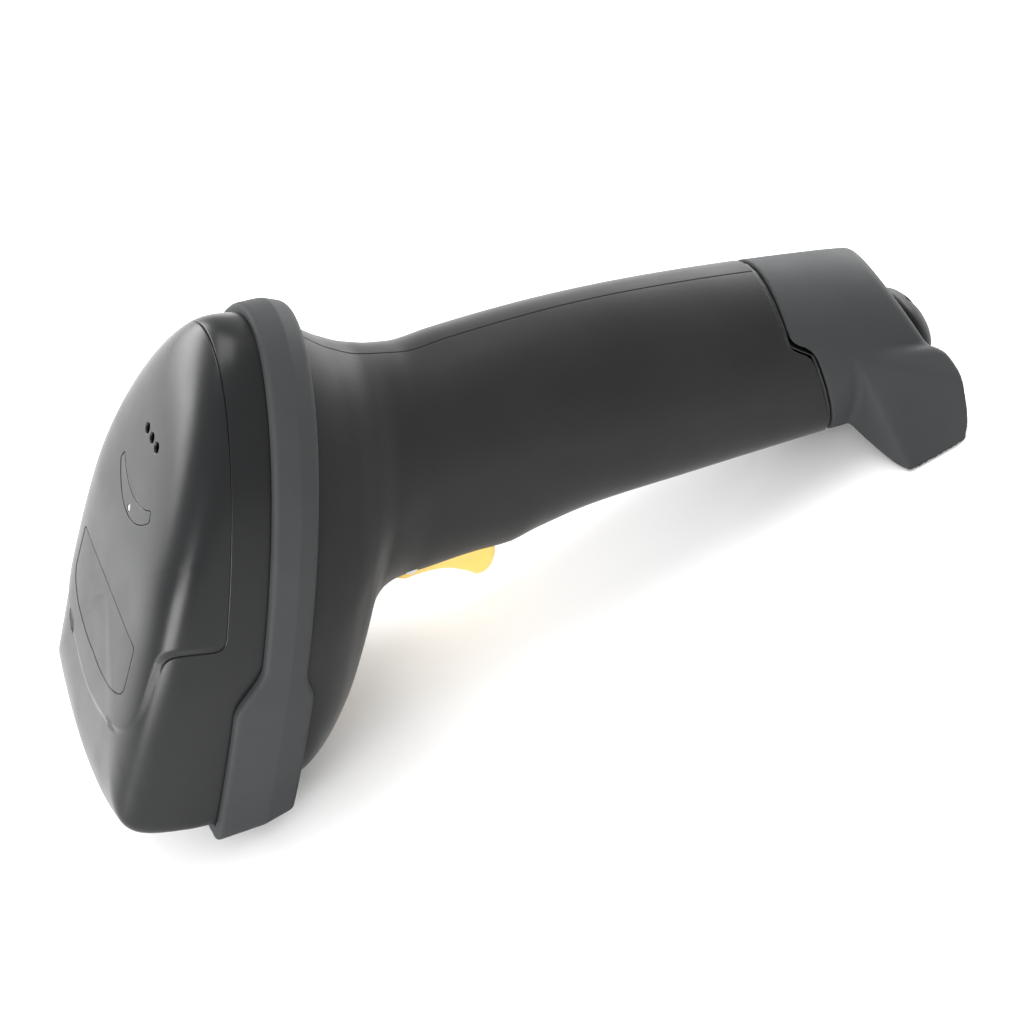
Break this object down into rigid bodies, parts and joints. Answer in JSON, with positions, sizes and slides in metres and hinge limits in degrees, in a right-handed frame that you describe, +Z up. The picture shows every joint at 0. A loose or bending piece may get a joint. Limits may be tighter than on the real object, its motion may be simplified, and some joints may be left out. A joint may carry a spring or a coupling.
{
  "type": "handheld barcode scanner",
  "caption": "Pistol-shaped cordless barcode scanner with a domed head in a rubber bumper, a front scan window, a finger trigger and a footed, removable handle end cap",
  "frame": {"origin": "on the surface the scanner lies on, under the middle of its box", "axes": "+X runs from the head to the handle's end, +Y is across the head, +Z is up from the surface"},
  "size_m": [0.1934, 0.064, 0.093],
  "materials": {
    "housing": "finely textured black plastic",
    "cover": "satin black plastic with a soft sheen",
    "rubber": "blue-grey soft-touch rubber",
    "black": "plain black moulding",
    "lens": "smoked glossy plastic",
    "trigger": "yellow moulded plastic",
    "window": "dark red tinted window",
    "metal": "bare steel",
    "board": "green solder mask",
    "gold": "gold plated contact",
    "wrap": "blue shrink wrap",
    "amber": "amber polyimide film",
    "clear": "clear moulded plastic",
    "seal": "black rubber gasket"
  },
  "bodies": {
    "scanner": {"left_housing": "housing", "right_housing": "housing", "top_cover": "cover", "crown_panel": "cover", "badge_plate": "cover", "bumper": "rubber", "window_bezel": "black", "switch_body": "black", "processor_chip": "black", "memory_chip": "black", "power_chip": "black", "beeper": "black", "scan_engine": "black", "contact_strip": "black", "battery_carrier": "black", "led_lens": "lens", "lens_barrel": "lens", "scan_window": "window", "trigger_pin": "metal", "trigger_spring": "metal", "radio_shield": "metal", "engine_bracket": "metal", "front_terminal": "metal", "rear_terminal": "metal", "housing_screw_1": "metal", "housing_screw_2": "metal", "housing_screw_3": "metal", "housing_screw_4": "metal", "handle_board": "board", "main_board": "board", "contact_pad_1": "gold", "contact_pad_2": "gold", "contact_pad_3": "gold", "contact_pad_4": "gold", "contact_pad_5": "gold", "battery_cell": "wrap", "ribbon_cable": "amber", "light_pipe": "clear", "aimer_lens": "clear", "illumination_led_left": "clear", "illumination_led_right": "clear"},
    "trigger": {"trigger": "trigger"},
    "plunger": {"switch_plunger": "clear"},
    "cap": {"end_cap": "rubber", "cap_seal": "seal"},
    "lock": {"cap_lock": "black", "lock_cam": "metal"}
  },
  "joints": [
    {"name": "trigger_pull", "type": "hinge", "parent": "scanner", "child": "trigger", "pos_m": [-0.02088, 0, 0.0276], "axis": [0, -1, 0], "range_deg": [0, 6], "stiffness_Nm_per_rad": 0.6},
    {"name": "plunger_travel", "type": "slide", "parent": "scanner", "child": "plunger", "axis": [0.5105, 0, 0.8599], "range_m": [0, 0.00147]},
    {"name": "cap_slide", "type": "slide", "parent": "scanner", "child": "cap", "axis": [0.9354, 0, -0.3535], "range_m": [0, 0.015]},
    {"name": "lock_turn", "type": "hinge", "parent": "cap", "child": "lock", "pos_m": [0.09235, 0, 0.00959], "axis": [0.9863, 0, 0.165], "range_deg": [0, 90]}
  ],
  "couplings": [
    {"joint": "plunger_travel", "follows": "trigger_pull", "m_per_rad": 0.014}
  ]
}
